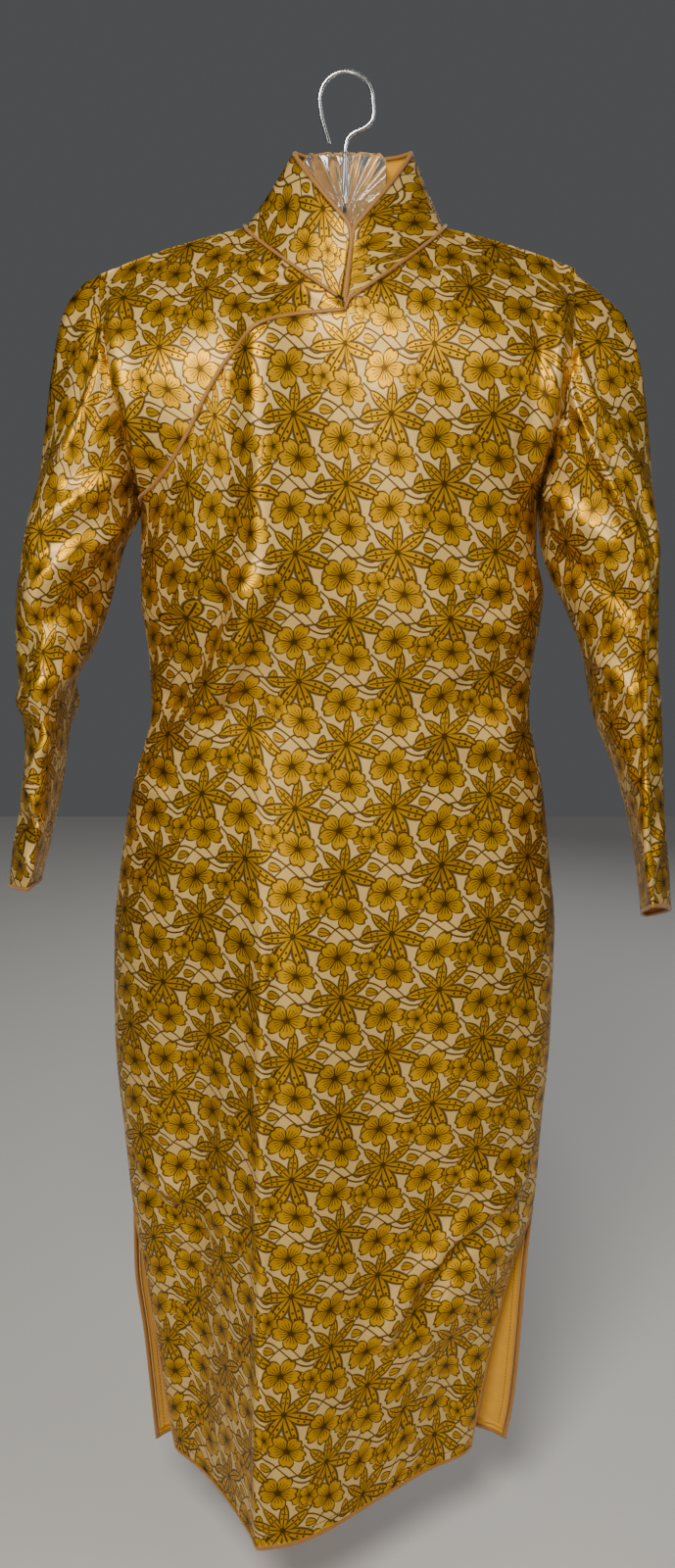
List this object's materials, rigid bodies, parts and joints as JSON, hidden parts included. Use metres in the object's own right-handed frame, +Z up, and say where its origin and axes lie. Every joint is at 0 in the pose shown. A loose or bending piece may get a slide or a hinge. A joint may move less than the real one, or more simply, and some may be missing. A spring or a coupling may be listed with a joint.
{
  "type": "cheongsam on a hanger",
  "caption": "Long-sleeved cheongsam in printed satin, with a stand collar, a curved side opening, piping and side slits, hung on a clear hanger with a wire hook.",
  "frame": {"origin": "inner top of the hook, where a rail carries the hanger", "axes": "+Z up along the dress, -Y out of the dress's front, +X to the viewer's right"},
  "size_m": [0.5473, 0.1944, 1.1597],
  "materials": {
    "satin_print": "satin",
    "satin_piping": "satin",
    "plain_lining": "satin",
    "clear_plastic": "clear",
    "bright_wire": "polished"
  },
  "bodies": {
    "root": {"front_panel": "satin_print", "front_underlap": "satin_print", "back_panel": "satin_print", "sleeve_left": "satin_print", "sleeve_right": "satin_print", "collar": "satin_print", "collar_piping": "satin_piping", "neck_piping": "satin_piping", "opening_piping": "satin_piping", "front_binding": "satin_piping", "back_binding": "satin_piping", "cuff_piping_left": "satin_piping", "cuff_piping_right": "satin_piping", "back_lining": "plain_lining", "hanger_body": "clear_plastic", "hanger_hook": "bright_wire"}
  },
  "joints": []
}
